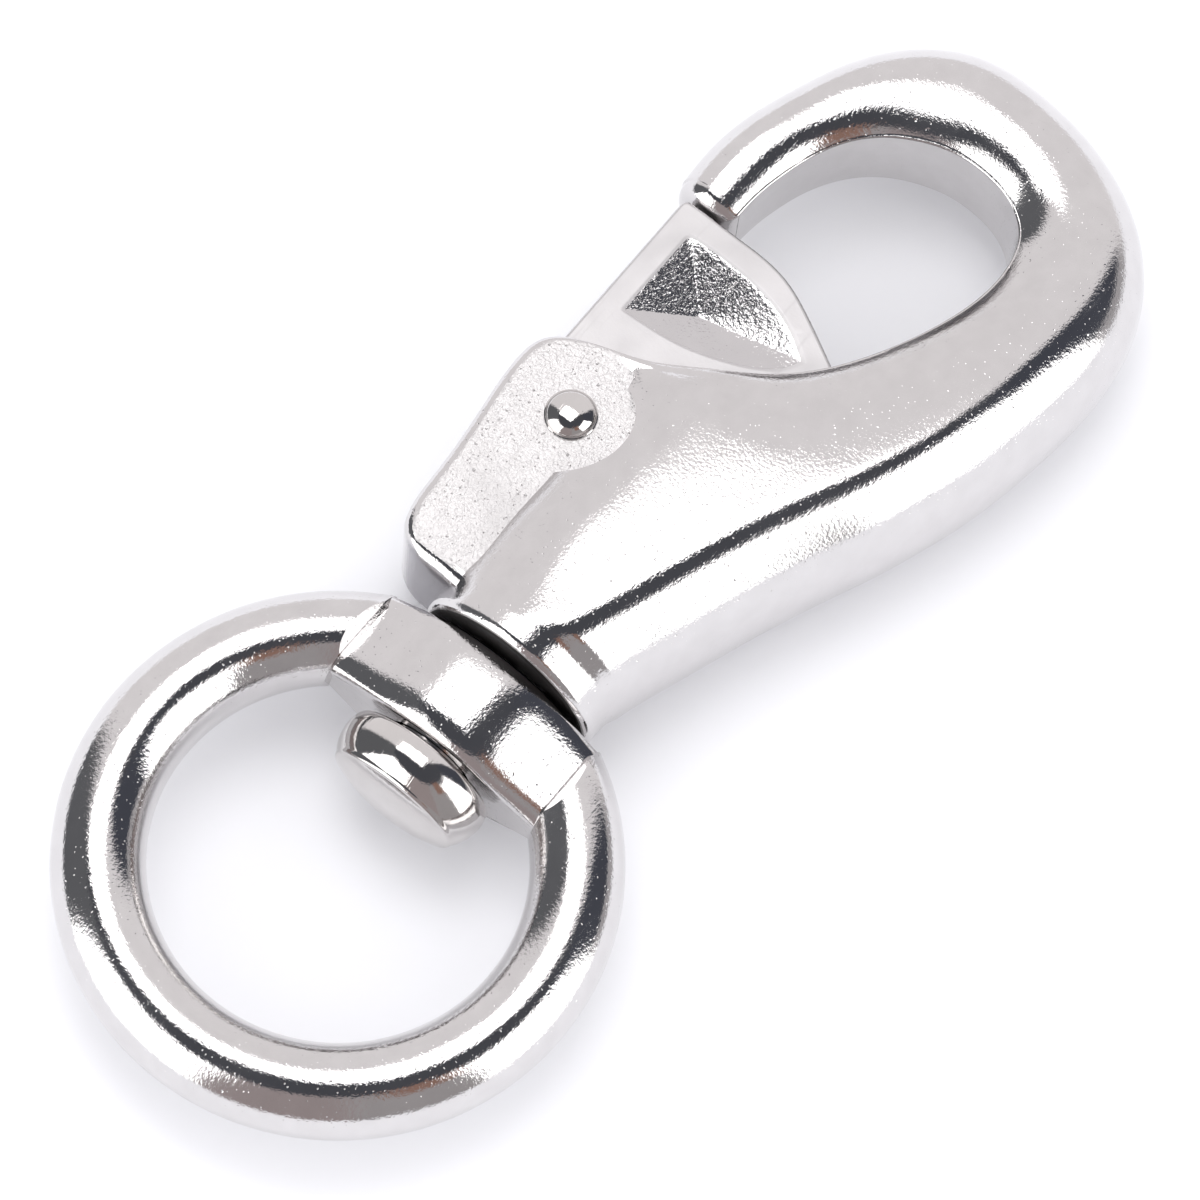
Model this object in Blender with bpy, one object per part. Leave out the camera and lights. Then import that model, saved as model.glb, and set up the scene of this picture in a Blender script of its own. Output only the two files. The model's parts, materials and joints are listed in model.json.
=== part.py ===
"""Swivel-eye spring snap hook, lying flat.

Drawing frame: millimetres, origin at the centre of the eye ring, +X along the swivel axis towards
the bow, +Y towards the gate, +Z out of the flat face. The part's own frame is the same, in metres,
with its origin moved to the bottom centre of the whole hook.
"""
import math

import bmesh
import bpy
from mathutils import Vector

MM = 0.001

# Part origin in the drawing frame: middle of the length and width, underside of the shank.
ORIGIN = Vector((27.93, 0.0, -7.1))

# Swivel eye: a wire ring with a thick hub across it.
RING_RADIUS = 15.9
WIRE_RADIUS = 3.2
HUB_INNER_X = 9.5
HUB_OUTER_X = 16.85
HUB_HALF_WIDTH = 8.9
HUB_OVAL_WIDTH = 10.0
HUB_OVAL_HEIGHT = 4.9
HUB_OVAL_POWER = 2.2
HUB_EDGE = 0.9

# Swivel pin: a round shank with an oblong pressed head inside the ring.
SHANK_RADIUS = 3.3
SHANK_END_X = 24.6
HEAD_BACK_X = 4.75
HEAD_FRONT_X = 9.1
HEAD_HALF_WIDTH = 5.7
HEAD_HALF_HEIGHT = 4.5
HEAD_POWER = 2.6
BORE_CLEARANCE = 0.15
CLEARANCE = 0.3

# Hook body: round base, flat cheeks, heel, bow and nose.
BASE_X = 17.25
BASE_RADIUS = 7.5
BASE_HEIGHT = 7.05
BASE_EDGE = 0.8
CHEEK_X = 18.9
PAD_HEIGHT = 4.4
NOSE_EDGE = 0.7

# Gate, pivoted between the cheeks.
PIVOT = Vector((33.5, 7.2, 0.0))
GATE_HALF_THICKNESS = 2.5
GATE_EDGE = 0.35
GATE_HUB_RADIUS = 4.2
GATE_OPEN = math.radians(-35.0)
SLOT_HALF_WIDTH = GATE_HALF_THICKNESS + CLEARANCE
SLOT_REACH = 19.3
POCKET_DEPTH = 2.0
SPOT_FACE_RADIUS = 4.35

# Gate pin and torsion spring.
PIN_RADIUS = 1.4
PIN_HOLE_RADIUS = PIN_RADIUS + 0.1
PIN_HEAD_RADIUS = 1.85
PIN_HEAD_HEIGHT = 0.95
SPRING_WIRE_RADIUS = 0.3
SPRING_COIL_RADIUS = 2.35
SPRING_TURNS = 3
SPRING_PITCH = 0.68
GROOVE_RADIUS = 3.1
GROOVE_HALF_WIDTH = 1.65

# Stations along the hook body. Each row: outer edge (x, y), inner edge (x, y), crown height,
# distance from the outer edge to the crown, distance from the inner edge to the foot of the
# slope, height of the foot, and the radius of the inner edge.
STATIONS = (
    ((18.95, -7.6), (18.95, 10.3), 7.1, 7.0, 4.85, 4.4, 0.9),
    ((20.8, -8.0), (20.8, 11.25), 7.05, 6.6, 5.8, 4.4, 0.9),
    ((24.5, -9.2), (24.6, 11.8), 7.0, 6.4, 6.3, 4.4, 0.9),
    ((29.0, -10.75), (29.2, 12.25), 7.0, 6.3, 6.8, 4.4, 0.9),
    ((33.8, -12.55), (34.4, 12.85), 7.0, 6.2, 7.4, 4.4, 0.9),
    ((37.0, -13.9), (37.2, 12.2), 6.95, 6.2, 6.8, 4.4, 0.9),
    ((39.3, -14.9), (38.6, 9.8), 6.85, 6.1, 4.2, 4.35, 0.7),
    ((42.2, -16.0), (39.9, 5.9), 6.7, 6.1, 1.0, 4.2, 0.4),
    ((45.5, -17.1), (41.9, 2.4), 6.5, 6.0, 0.8, 4.1, 0.4),
    ((49.0, -18.0), (44.8, -1.8), 6.2, 5.9, 0.8, 4.0, 0.4),
    ((52.5, -18.6), (48.6, -4.9), 5.9, 5.8, 0.8, 3.9, 0.4),
    ((56.0, -19.0), (53.4, -7.3), 5.5, 5.5, 0.9, 3.9, 0.5),
    ((59.6, -19.1), (58.2, -8.7), 5.2, 5.1, 1.0, 3.9, 0.6),
    ((63.5, -18.55), (61.5, -8.8), 5.0, 4.8, 1.0, 3.9, 0.6),
    ((67.8, -16.6), (63.9, -8.1), 4.8, 4.6, 1.0, 3.9, 0.6),
    ((71.4, -13.1), (65.3, -6.8), 4.7, 4.5, 1.0, 3.9, 0.6),
    ((73.8, -8.4), (66.2, -4.9), 4.6, 4.4, 1.0, 3.85, 0.6),
    ((74.9, -2.8), (66.5, -2.0), 4.6, 4.3, 1.0, 3.85, 0.6),
    ((74.6, 2.4), (66.0, 0.6), 4.5, 4.3, 1.0, 3.8, 0.6),
    ((72.4, 6.4), (64.7, 3.2), 4.4, 4.1, 1.0, 3.7, 0.6),
    ((68.8, 9.4), (62.7, 5.3), 4.2, 3.7, 0.9, 3.5, 0.55),
    ((64.2, 11.45), (60.2, 6.7), 3.9, 3.2, 0.8, 3.3, 0.5),
    ((59.8, 12.8), (57.8, 7.45), 3.7, 2.9, 0.8, 3.1, 0.5),
    ((56.4, 13.2), (55.4, 7.9), 3.5, 2.7, 0.8, 3.0, 0.5),
    ((52.45, 13.0), (52.45, 8.0), 3.4, 2.6, 0.8, 2.9, 0.5),
)
STATION_STEPS = 2
SLOPE_POWER = 3.0
ARC_POINTS = 8
SLOPE_POINTS = 7
EDGE_POINTS = 3

# Visible outline of the gate from its thumb edge, round the tip, to its hidden lower corner.
GATE_OUTLINE = (
    (38.2, 11.64), (51.9, 11.74), (52.05, 11.5), (52.05, 7.4), (51.95, 4.0),
    (51.65, 2.5), (50.6, 0.0), (48.5, -3.85), (48.0, -4.75), (47.4, -4.9),
)
GATE_LUG = ((29.6, 8.9), (27.6, 8.9), (27.6, 6.8), (29.6, 6.8))
POCKET_OUTLINE = (
    (42.6, 9.75), (42.75, 7.4), (43.1, 4.9), (43.9, 2.4), (45.1, -0.1), (46.3, -1.5),
    (47.5, -2.15), (48.75, -0.2), (49.6, 2.0), (50.05, 4.5), (50.1, 9.6), (49.8, 9.9),
)
POCKET_APEX = (46.5, 6.3)


def part_point(point):
    """Drawing-frame millimetres to part-frame metres."""
    return (Vector(point) - ORIGIN) * MM


def clear_scene():
    for old in list(bpy.data.objects):
        bpy.data.objects.remove(old, do_unlink=True)


def steel(name, colour, roughness):
    material = bpy.data.materials.new(name)
    material.use_nodes = True
    shader = material.node_tree.nodes["Principled BSDF"]
    shader.inputs["Base Color"].default_value = (*colour, 1.0)
    shader.inputs["Metallic"].default_value = 1.0
    shader.inputs["Roughness"].default_value = roughness
    return material


def add_piece(name, solid, material, axis=None):
    """One object from (vertices, faces) in drawing millimetres, with its origin on an axis."""
    vertices, faces = solid
    origin = part_point(axis.location_mm) if axis else Vector((0.0, 0.0, 0.0))
    mesh = bpy.data.meshes.new(name)
    mesh.from_pydata([part_point(v) - origin for v in vertices], [], faces)
    shape = bmesh.new()
    shape.from_mesh(mesh)
    bmesh.ops.recalc_face_normals(shape, faces=shape.faces)
    shape.to_mesh(mesh)
    shape.free()
    piece = bpy.data.objects.new(name, mesh)
    bpy.context.scene.collection.objects.link(piece)
    if axis:
        piece.parent = axis.empty
    if material:
        mesh.materials.append(material)
        mesh.shade_smooth()
        mesh.set_sharp_from_angle(angle=math.radians(35))
    return piece


class Axis:
    """An empty on a joint's axis, which the moving pieces hang from."""

    def __init__(self, name, location_mm):
        self.location_mm = Vector(location_mm)
        self.empty = bpy.data.objects.new(name, None)
        self.empty.location = part_point(location_mm)
        bpy.context.scene.collection.objects.link(self.empty)


def boolean(piece, tool, operation):
    tool.hide_render = True
    tool.display_type = "WIRE"
    modifier = piece.modifiers.new(tool.name, "BOOLEAN")
    modifier.operation = operation
    modifier.solver = "EXACT"
    modifier.object = tool


def bevel(piece, width, segments=2, angle=35):
    modifier = piece.modifiers.new("edges", "BEVEL")
    modifier.width = width * MM
    modifier.segments = segments
    modifier.limit_method = "ANGLE"
    modifier.angle_limit = math.radians(angle)


def loft(rings, closed=False):
    """Skin over rings with equal point counts, with flat ends unless the rings close up."""
    count = len(rings[0])
    vertices = [point for ring in rings for point in ring]
    faces = []
    for i in range(len(rings) if closed else len(rings) - 1):
        a = i * count
        b = (i + 1) % len(rings) * count
        for j in range(count):
            k = (j + 1) % count
            faces.append((a + j, a + k, b + k, b + j))
    if not closed:
        faces.append(tuple(range(count)))
        faces.append(tuple(range(len(vertices) - count, len(vertices))))
    return vertices, faces


def prism(outline, bottom, top):
    return loft([[(x, y, z) for x, y in outline] for z in (bottom, top)])


def circle(centre, radius, count, start=0.0, end=2 * math.pi, whole=True):
    """Points round a whole circle, or along an arc with both ends when whole is False."""
    steps = count if whole else count - 1
    angles = [start + (end - start) * i / steps for i in range(count)]
    return [(centre[0] + radius * math.cos(a), centre[1] + radius * math.sin(a)) for a in angles]


def disc(centre, radius, bottom, top, count=32):
    return prism(circle(centre, radius, count), bottom, top)


def oval(half_width, half_height, power, count):
    """Points (y, z) round a superellipse."""
    points = []
    for i in range(count):
        angle = 2 * math.pi * i / count
        c, s = math.cos(angle), math.sin(angle)
        points.append((
            math.copysign(half_width * abs(c) ** (2 / power), c),
            math.copysign(half_height * abs(s) ** (2 / power), s),
        ))
    return points


def rounding(radius, steps):
    """Pairs (set back along the axis, set in from the side) round a quarter circle."""
    angles = [math.pi / 2 * i / steps for i in range(steps + 1)]
    return [(radius * (1 - math.sin(a)), radius * (1 - math.cos(a))) for a in reversed(angles)]


def smooth_rows(rows, steps):
    """Catmull-Rom through rows of numbers, with extra rows between each pair."""
    result = []
    for i in range(len(rows) - 1):
        before, here = rows[max(i - 1, 0)], rows[i]
        there, after = rows[i + 1], rows[min(i + 2, len(rows) - 1)]
        for step in range(steps):
            t = step / steps
            result.append(tuple(
                0.5 * (2 * q + (r - p) * t + (2 * p - 5 * q + 4 * r - s) * t * t
                       + (3 * q - p - 3 * r + s) * t ** 3)
                for p, q, r, s in zip(before, here, there, after)
            ))
    result.append(rows[-1])
    return result


def upper_profile(width, crown, crown_in, foot_in, foot, edge):
    """Half of a body section: (distance from the outer edge, height), outer edge first."""
    points = []
    for i in range(ARC_POINTS):
        angle = math.pi / 2 * i / ARC_POINTS
        points.append((crown_in * (1 - math.cos(angle)), crown * math.sin(angle)))
    slope_end = width - foot_in
    for i in range(SLOPE_POINTS):
        t = i / SLOPE_POINTS
        drop = (crown - foot) * t ** SLOPE_POWER
        points.append((crown_in + (slope_end - crown_in) * t, crown - drop))
    points.append((slope_end, foot))
    for i in range(EDGE_POINTS + 1):
        angle = math.pi / 2 * i / EDGE_POINTS
        points.append((width - edge * (1 - math.sin(angle)), foot - edge * (1 - math.cos(angle))))
    return points


def section(row, inset=0.0, shift=0.0):
    """Closed ring of points for one station, drawn in by an inset and moved along the body."""
    outer = Vector((row[0], row[1], 0.0))
    inner = Vector((row[2], row[3], 0.0))
    across = (inner - outer).normalized()
    width = (inner - outer).length
    along = Vector((across.y, -across.x, 0.0))
    upper = []
    for distance, height in upper_profile(width, *row[4:]):
        squeeze = (width - 2 * inset) / width
        lower = (row[4] - inset) / row[4]
        upper.append((inset + distance * squeeze, height * lower))
    ring = upper + [(distance, -height) for distance, height in reversed(upper[1:])]
    return [tuple(outer + across * d + along * shift + Vector((0, 0, h))) for d, h in ring]


def base_ring(x, inward):
    """Round section of the base, with as many points as a station has."""
    half_width, half_height = BASE_RADIUS - inward, BASE_HEIGHT - inward
    spans = (
        (ARC_POINTS, 180, 90),
        (SLOPE_POINTS, 90, 45),
        (1, 45, 42),
        (EDGE_POINTS, 42, 14),
        (1, 14, 14),
    )
    upper = []
    for count, start, end in spans:
        for i in range(count):
            angle = math.radians(start + (end - start) * i / count)
            upper.append((half_width * math.cos(angle), half_height * math.sin(angle)))
    ring = upper + [(y, -z) for y, z in reversed(upper[1:])]
    return [(x, y, z) for y, z in ring]


def hook_body_solid():
    rings = []
    for back, inward in rounding(BASE_EDGE, 3):
        rings.append(base_ring(BASE_X + back, inward))
    rings.append(base_ring(CHEEK_X - 0.15, 0.0))
    rows = [(*outer, *inner, *rest) for outer, inner, *rest in STATIONS]
    for row in smooth_rows(rows, STATION_STEPS)[:-1]:
        rings.append(section(row))
    for back, inward in reversed(rounding(NOSE_EDGE, 3)):
        rings.append(section(rows[-1], inward, shift=-back))
    return loft(rings)


def back_edge_angles():
    """Angles about the pivot of the two ends of the gate's hidden back edge, with the gate shut."""
    corner = Vector((*GATE_OUTLINE[-1], 0.0)) - PIVOT
    corner_angle = math.atan2(corner.y, corner.x)
    return corner_angle, corner_angle - math.acos(GATE_HUB_RADIUS / corner.length)


def slot_outline():
    """Space between the cheeks that the gate, its lug and the spring need, in the XY plane."""
    hub = GATE_HUB_RADIUS + 0.4
    ledge = GATE_LUG[2][1] - CLEARANCE
    left = GATE_LUG[1][0] - 0.8
    above = 20.0
    corner_angle, tangent_angle = back_edge_angles()
    hub_start, hub_end = math.radians(-166), tangent_angle + GATE_OPEN
    sweep_start, sweep_end = corner_angle + GATE_OPEN - math.radians(0.5), math.radians(-18)
    points = [(left, above), (left, ledge), (PIVOT.x - hub, ledge)]
    points += circle(PIVOT, hub, 3, hub_start, hub_end, whole=False)
    points += circle(PIVOT, SLOT_REACH, 9, sweep_start, sweep_end, whole=False)
    points.append((PIVOT.x + SLOT_REACH * math.cos(sweep_end), above))
    return points


def build_hook_body(material):
    body = add_piece("hook_body", hook_body_solid(), material)
    slot = add_piece("cut_slot", prism(slot_outline(), -SLOT_HALF_WIDTH, SLOT_HALF_WIDTH), None)
    boolean(body, slot, "DIFFERENCE")
    hole = add_piece("cut_pin_hole", disc(PIVOT, PIN_HOLE_RADIUS, -9, 9, 24), None)
    boolean(body, hole, "DIFFERENCE")
    for side in (1, -1):
        floor = side * (PAD_HEIGHT + 0.02)
        low, high = sorted((floor, side * 9.0))
        spot = add_piece(f"cut_spot_face_{side + 1}", disc(PIVOT, SPOT_FACE_RADIUS, low, high), None)
        boolean(body, spot, "DIFFERENCE")
    bore = bar(SHANK_RADIUS + BORE_CLEARANCE, 10.0, SHANK_END_X + CLEARANCE)
    boolean(body, add_piece("cut_shank_bore", bore, None), "DIFFERENCE")
    return body


def bar(radius, start, end, count=32):
    """Round bar along the swivel axis."""
    rings = []
    for x in (start, end):
        rings.append([(x, y, z) for y, z in circle((0.0, 0.0), radius, count)])
    return loft(rings)


def ring_solid(rounds=72, sides=20):
    rings = []
    for i in range(rounds):
        angle = 2 * math.pi * i / rounds
        ring = []
        for reach, z in circle((RING_RADIUS, 0.0), WIRE_RADIUS, sides):
            ring.append((reach * math.cos(angle), reach * math.sin(angle), z))
        rings.append(ring)
    return loft(rings, closed=True)


def hub_solid(half_points=14):
    """Thick hub: an oval section along X with rounded edges, cut off square inside the wire."""
    def height(y, drop):
        share = abs(y) / HUB_OVAL_WIDTH
        return HUB_OVAL_HEIGHT * (1 - share ** HUB_OVAL_POWER) ** 0.5 - drop

    def hub_ring(x, drop):
        steps = [-HUB_HALF_WIDTH + 2 * HUB_HALF_WIDTH * i / half_points for i in range(half_points + 1)]
        ring = [(x, y, height(y, drop)) for y in steps]
        return ring + [(x, y, -height(y, drop)) for y in reversed(steps)]

    rings = [hub_ring(HUB_INNER_X + back, inward) for back, inward in rounding(HUB_EDGE, 3)]
    rings += [hub_ring(HUB_OUTER_X - back, inward) for back, inward in reversed(rounding(HUB_EDGE, 3))]
    return loft(rings)


def build_swivel_eye(material, axis):
    eye = add_piece("swivel_eye", ring_solid(), material, axis)
    gap = [(4.0, -8.75), (25.0, -8.75), (25.0, 8.75), (4.0, 8.75)]
    boolean(eye, add_piece("cut_ring_gap", prism(gap, -6, 6), None, axis), "DIFFERENCE")
    boolean(eye, add_piece("add_hub", hub_solid(), None, axis), "UNION")
    bore = bar(SHANK_RADIUS + BORE_CLEARANCE, 4.0, 25.0)
    boolean(eye, add_piece("cut_eye_bore", bore, None, axis), "DIFFERENCE")
    return eye


def build_swivel_pin(material):
    """Round shank and oblong head, lofted in one run along the axis."""
    count = 40
    rings = []
    for back, inward in rounding(1.5, 4):
        outline = oval(HEAD_HALF_WIDTH - inward, HEAD_HALF_HEIGHT - inward, HEAD_POWER, count)
        rings.append([(HEAD_BACK_X + back, y, z) for y, z in outline])
    for back, inward in reversed(rounding(0.8, 3)):
        outline = oval(HEAD_HALF_WIDTH - inward, HEAD_HALF_HEIGHT - inward, HEAD_POWER, count)
        rings.append([(HEAD_FRONT_X - back, y, z) for y, z in outline])
    for x in (HEAD_FRONT_X, SHANK_END_X):
        rings.append([(x, y, z) for y, z in oval(SHANK_RADIUS, SHANK_RADIUS, 2, count)])
    return add_piece("swivel_pin", loft(rings), material)


def gate_outline():
    """Whole gate outline: the visible edges, the straight back edge, the hub and the stop lug."""
    tangent = back_edge_angles()[1]
    lug_low = math.asin((GATE_LUG[2][1] - PIVOT.y) / GATE_HUB_RADIUS)
    lug_high = math.asin((GATE_LUG[1][1] - PIVOT.y) / GATE_HUB_RADIUS)
    points = list(GATE_OUTLINE)
    points += circle(PIVOT, GATE_HUB_RADIUS, 6, tangent, -math.pi - lug_low, whole=False)
    points += [GATE_LUG[2], GATE_LUG[1]]
    points += circle(PIVOT, GATE_HUB_RADIUS, 7, math.pi - lug_high, math.radians(80), whole=False)
    return points


def pocket_solid(side):
    """Three-sided pit: the outline on the gate's face drawn down to one point."""
    face = GATE_HALF_THICKNESS
    lift = 1.0
    grow = 1 + lift / POCKET_DEPTH
    ax, ay = POCKET_APEX
    vertices = [(ax, ay, side * (face - POCKET_DEPTH))]
    for x, y in POCKET_OUTLINE:
        vertices.append((ax + (x - ax) * grow, ay + (y - ay) * grow, side * (face + lift)))
    count = len(POCKET_OUTLINE)
    faces = [(0, 1 + i, 1 + (i + 1) % count) for i in range(count)]
    faces.append(tuple(range(1, count + 1)))
    return vertices, faces


def groove_outline():
    """Space in the gate's hub for the spring's coil and its two legs."""
    points = circle(PIVOT, GROOVE_RADIUS, 15, math.radians(-38), math.radians(176), whole=False)
    points += circle(PIVOT, 6.0, 9, math.radians(182), math.radians(292), whole=False)
    points += [(PIVOT.x + 2.3, PIVOT.y - 3.0), (PIVOT.x + 7.4, PIVOT.y - 3.0)]
    points.append((PIVOT.x + 7.4, PIVOT.y - SPRING_COIL_RADIUS + 0.6))
    return points


def build_gate(material, axis):
    gate = add_piece("gate", prism(gate_outline(), -GATE_HALF_THICKNESS, GATE_HALF_THICKNESS),
                     material, axis)
    bevel(gate, GATE_EDGE)
    for side in (1, -1):
        boolean(gate, add_piece(f"cut_pocket_{side + 1}", pocket_solid(side), None, axis), "DIFFERENCE")
    groove = prism(groove_outline(), -GROOVE_HALF_WIDTH, GROOVE_HALF_WIDTH)
    boolean(gate, add_piece("cut_groove", groove, None, axis), "DIFFERENCE")
    hole = disc(PIVOT, PIN_HOLE_RADIUS, -4, 4, 24)
    boolean(gate, add_piece("cut_gate_hole", hole, None, axis), "DIFFERENCE")
    return gate


def build_gate_pin(material):
    """Straight pin with a domed head set on both cheeks."""
    seat = PAD_HEIGHT + 0.15
    profile = []
    dome_steps = 5
    for i in range(1, dome_steps + 1):
        angle = math.pi / 2 * i / dome_steps
        profile.append((PIN_HEAD_RADIUS * math.sin(angle), seat + PIN_HEAD_HEIGHT * math.cos(angle)))
    profile.append((PIN_RADIUS, seat))
    profile += [(radius, -z) for radius, z in reversed(profile)]
    rings = [[(x, y, z) for x, y in circle(PIVOT, radius, 24)] for radius, z in profile]
    return add_piece("gate_pin", loft(rings), material)


def spring_route():
    """Centre line of the torsion spring: fixed leg, coil, and the leg that lifts the gate."""
    half = SPRING_TURNS * SPRING_PITCH / 2
    start, end = math.pi, math.pi + (SPRING_TURNS + 0.25) * 2 * math.pi
    fixed_leg = [Vector((PIVOT.x - SPRING_COIL_RADIUS, PIVOT.y - d, -half)) for d in (4.4, 3.0, 1.5)]
    coil = []
    steps = 12 * SPRING_TURNS + 3
    for i in range(steps + 1):
        angle = start + (end - start) * i / steps
        coil.append(Vector((
            PIVOT.x + SPRING_COIL_RADIUS * math.cos(angle),
            PIVOT.y + SPRING_COIL_RADIUS * math.sin(angle),
            -half + 2 * half * i / steps,
        )))
    lift_leg = [Vector((PIVOT.x + d, PIVOT.y - SPRING_COIL_RADIUS, half)) for d in (2.0, 4.4, 6.8)]
    return fixed_leg + coil + lift_leg


def build_gate_spring(material, sides=6):
    route = spring_route()
    rings = []
    for i, point in enumerate(route):
        ahead = route[min(i + 1, len(route) - 1)]
        behind = route[max(i - 1, 0)]
        tangent = (ahead - behind).normalized()
        side = tangent.cross(Vector((0, 0, 1))).normalized()
        up = side.cross(tangent)
        ring = []
        for k in range(sides):
            angle = 2 * math.pi * k / sides
            ring.append(tuple(point + SPRING_WIRE_RADIUS * (side * math.cos(angle) + up * math.sin(angle))))
        rings.append(ring)
    return add_piece("gate_spring", loft(rings), material)


def main():
    clear_scene()
    cast = steel("cast_stainless", (0.62, 0.60, 0.60), 0.2)
    gate_steel = steel("gate_stainless", (0.58, 0.56, 0.56), 0.28)
    pin_steel = steel("pin_stainless", (0.64, 0.62, 0.61), 0.12)
    spring_steel = steel("spring_stainless", (0.5, 0.5, 0.5), 0.25)
    swivel_axis = Axis("swivel_axis", (0.0, 0.0, 0.0))
    gate_axis = Axis("gate_axis", PIVOT)
    build_hook_body(cast)
    build_swivel_eye(cast, swivel_axis)
    build_swivel_pin(pin_steel)
    build_gate(gate_steel, gate_axis)
    build_gate_pin(pin_steel)
    build_gate_spring(spring_steel)


main()
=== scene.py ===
import json
import math

import bmesh
import bpy
import numpy as np
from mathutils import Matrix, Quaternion, Vector


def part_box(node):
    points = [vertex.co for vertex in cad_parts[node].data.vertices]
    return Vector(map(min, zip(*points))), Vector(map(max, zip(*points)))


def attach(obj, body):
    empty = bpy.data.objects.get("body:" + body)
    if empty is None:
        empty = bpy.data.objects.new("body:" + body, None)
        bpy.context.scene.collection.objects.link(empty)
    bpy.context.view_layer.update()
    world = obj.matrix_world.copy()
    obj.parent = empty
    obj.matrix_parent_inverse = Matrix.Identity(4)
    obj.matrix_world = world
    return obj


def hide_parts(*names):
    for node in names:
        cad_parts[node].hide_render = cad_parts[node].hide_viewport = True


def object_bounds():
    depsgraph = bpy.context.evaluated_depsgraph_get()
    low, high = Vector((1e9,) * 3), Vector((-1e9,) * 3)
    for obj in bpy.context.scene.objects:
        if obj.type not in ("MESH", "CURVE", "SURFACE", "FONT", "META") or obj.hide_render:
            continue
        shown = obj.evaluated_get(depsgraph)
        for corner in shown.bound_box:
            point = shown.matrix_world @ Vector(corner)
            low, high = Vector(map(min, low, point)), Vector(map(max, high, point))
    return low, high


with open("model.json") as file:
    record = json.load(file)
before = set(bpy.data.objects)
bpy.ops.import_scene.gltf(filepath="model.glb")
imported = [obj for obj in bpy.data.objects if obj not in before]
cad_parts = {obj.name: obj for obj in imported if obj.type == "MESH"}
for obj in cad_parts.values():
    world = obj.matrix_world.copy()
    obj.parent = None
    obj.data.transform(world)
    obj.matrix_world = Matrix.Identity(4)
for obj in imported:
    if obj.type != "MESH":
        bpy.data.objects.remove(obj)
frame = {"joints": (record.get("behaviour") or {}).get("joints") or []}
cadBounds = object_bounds()
mm = 0.001

# Every piece is drawn in millimetres from the middle of the eye ring: +X runs along the hook to
# its bow, +Y to the gate's side and +Z out of the flat face. place() puts a point in the frame.
eye = {
    "ringRadius": 15.9, "wireRadius": 3.2, "ringSteps": 288, "wireSteps": 72,
    "hubBack": 9.5, "hubFront": 16.85, "hubReach": 9.0, "crown": 4.98, "crownRadius": 11.0,
    "flankSlope": 24.0, "shoulders": (0.67, 0.3), "shoulderPower": 3.2, "hubEdge": 0.35,
    "backPull": 0.75, "frontPull": 0.75, "pullHeight": 2.2, "cutFrom": 4.0, "cutTo": 25.0,
    "wireEnd": 8.75, "facetLow": 2.45, "facetRun": 0.9, "facetRise": 1.1, "bore": 3.45,
}
eyeLow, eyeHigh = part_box("swivel_eye")
ringCentre = Vector((
    eyeLow.x + (eye["ringRadius"] + eye["wireRadius"]) * mm,
    (eyeLow.y + eyeHigh.y) / 2,
    (eyeLow.z + eyeHigh.z) / 2,
))
gateJoint = next(j for j in frame["joints"] if j["name"] == "gate_pivot")
pivot = (Vector(gateJoint["pos_m"]) - ringCentre) / mm
print("frame loaded, gate pivot at", [round(v, 2) for v in pivot], "mm from the ring's middle")


def place(point):
    return ringCentre + Vector(point) * mm


def newPiece(name, vertices, faces):
    # a closed mesh from points in millimetres, its faces turned outwards
    mesh = bpy.data.meshes.new(name)
    mesh.from_pydata([place(v) for v in vertices], [], faces)
    shape = bmesh.new()
    shape.from_mesh(mesh)
    bmesh.ops.remove_doubles(shape, verts=shape.verts, dist=1e-7)
    bmesh.ops.recalc_face_normals(shape, faces=shape.faces)
    if shape.calc_volume(signed=True) < 0:
        bmesh.ops.reverse_faces(shape, faces=shape.faces)
    shape.to_mesh(mesh)
    shape.free()
    piece = bpy.data.objects.new(name, mesh)
    bpy.context.scene.collection.objects.link(piece)
    return piece


def loft(rings):
    # faces between rings of equal point counts, with a face at either end
    count = len(rings[0])
    vertices = [p for ring in rings for p in ring]
    faces = []
    for i in range(len(rings) - 1):
        a, b = i * count, (i + 1) * count
        for j in range(count):
            k = (j + 1) % count
            faces.append((a + j, a + k, b + k, b + j))
    faces.append(tuple(range(count)))
    faces.append(tuple(range(len(vertices) - count, len(vertices))))
    return vertices, faces


def prism(outline, low, high):
    # a flat outline in X and Y, stood up along Z
    return loft([[(x, y, z) for x, y in outline] for z in (low, high)])


def arc(centre, radius, count, start=0.0, end=2 * math.pi, whole=True):
    steps = count if whole else count - 1
    angles = [start + (end - start) * i / steps for i in range(count)]
    return [(centre[0] + radius * math.cos(a), centre[1] + radius * math.sin(a)) for a in angles]


def bar(radius, start, end, count=96):
    # a round bar along the swivel's axis
    return loft([[(x, y, z) for y, z in arc((0.0, 0.0), radius, count)] for x in (start, end)])


def rounding(radius, steps):
    # pairs of set back and set in round a quarter circle, starting on the end face
    angles = [math.pi / 2 * (steps - i) / steps for i in range(steps + 1)]
    return [(radius * (1 - math.sin(a)), radius * (1 - math.cos(a))) for a in angles]


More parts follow.
